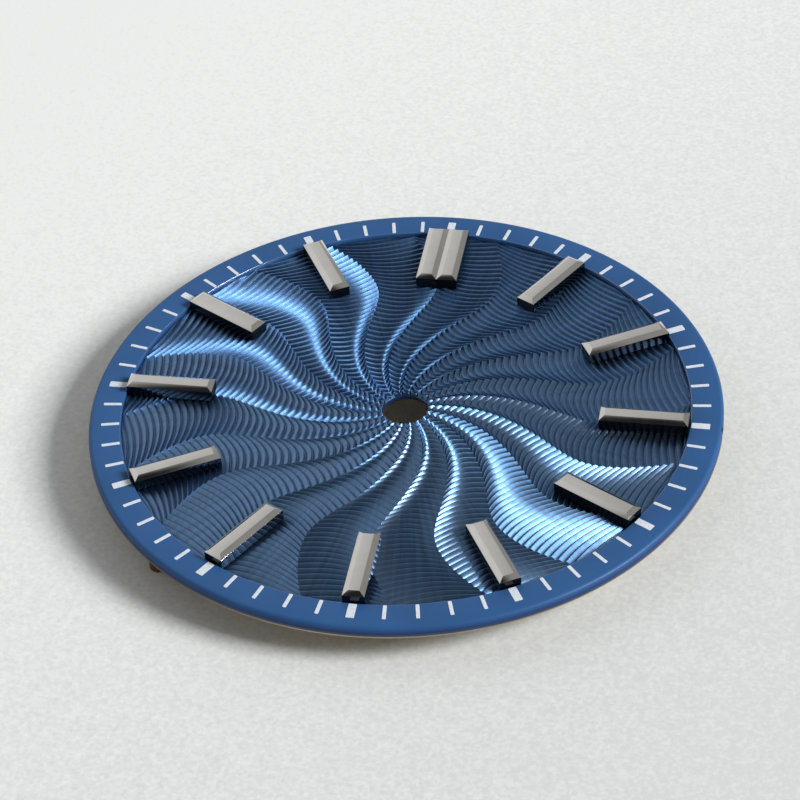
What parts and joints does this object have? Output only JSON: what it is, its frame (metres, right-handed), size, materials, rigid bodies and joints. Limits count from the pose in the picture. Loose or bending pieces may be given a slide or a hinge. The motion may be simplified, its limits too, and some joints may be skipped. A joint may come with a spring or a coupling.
{
  "type": "watch dial",
  "caption": "Round watch dial with a scalloped engine-turned centre, raised minute ring, applied baton hour indices and dial feet.",
  "frame": {"origin": "axis of the centre hole, on the back face of the dial plate", "axes": "+Z out of the face toward the wearer, +Y toward twelve o'clock, +X toward three o'clock"},
  "size_m": [0.0284, 0.0284, 0.0025],
  "materials": {
    "brass": "satin",
    "blue_lacquer": "gloss",
    "white_print": "matt pad print",
    "rhodium": "polished",
    "copper": "drawn wire"
  },
  "bodies": {
    "root": {"dial_plate": "brass", "engraved_centre": "blue_lacquer", "minute_ring": "blue_lacquer", "minute_marks": "white_print", "hour_marks": "white_print", "index_01": "rhodium", "index_02": "rhodium", "index_03": "rhodium", "index_04": "rhodium", "index_05": "rhodium", "index_06": "rhodium", "index_07": "rhodium", "index_08": "rhodium", "index_09": "rhodium", "index_10": "rhodium", "index_11": "rhodium", "index_12": "rhodium", "dial_foot_1": "copper", "dial_foot_2": "copper", "dial_foot_3": "copper", "dial_foot_4": "copper"}
  },
  "joints": []
}
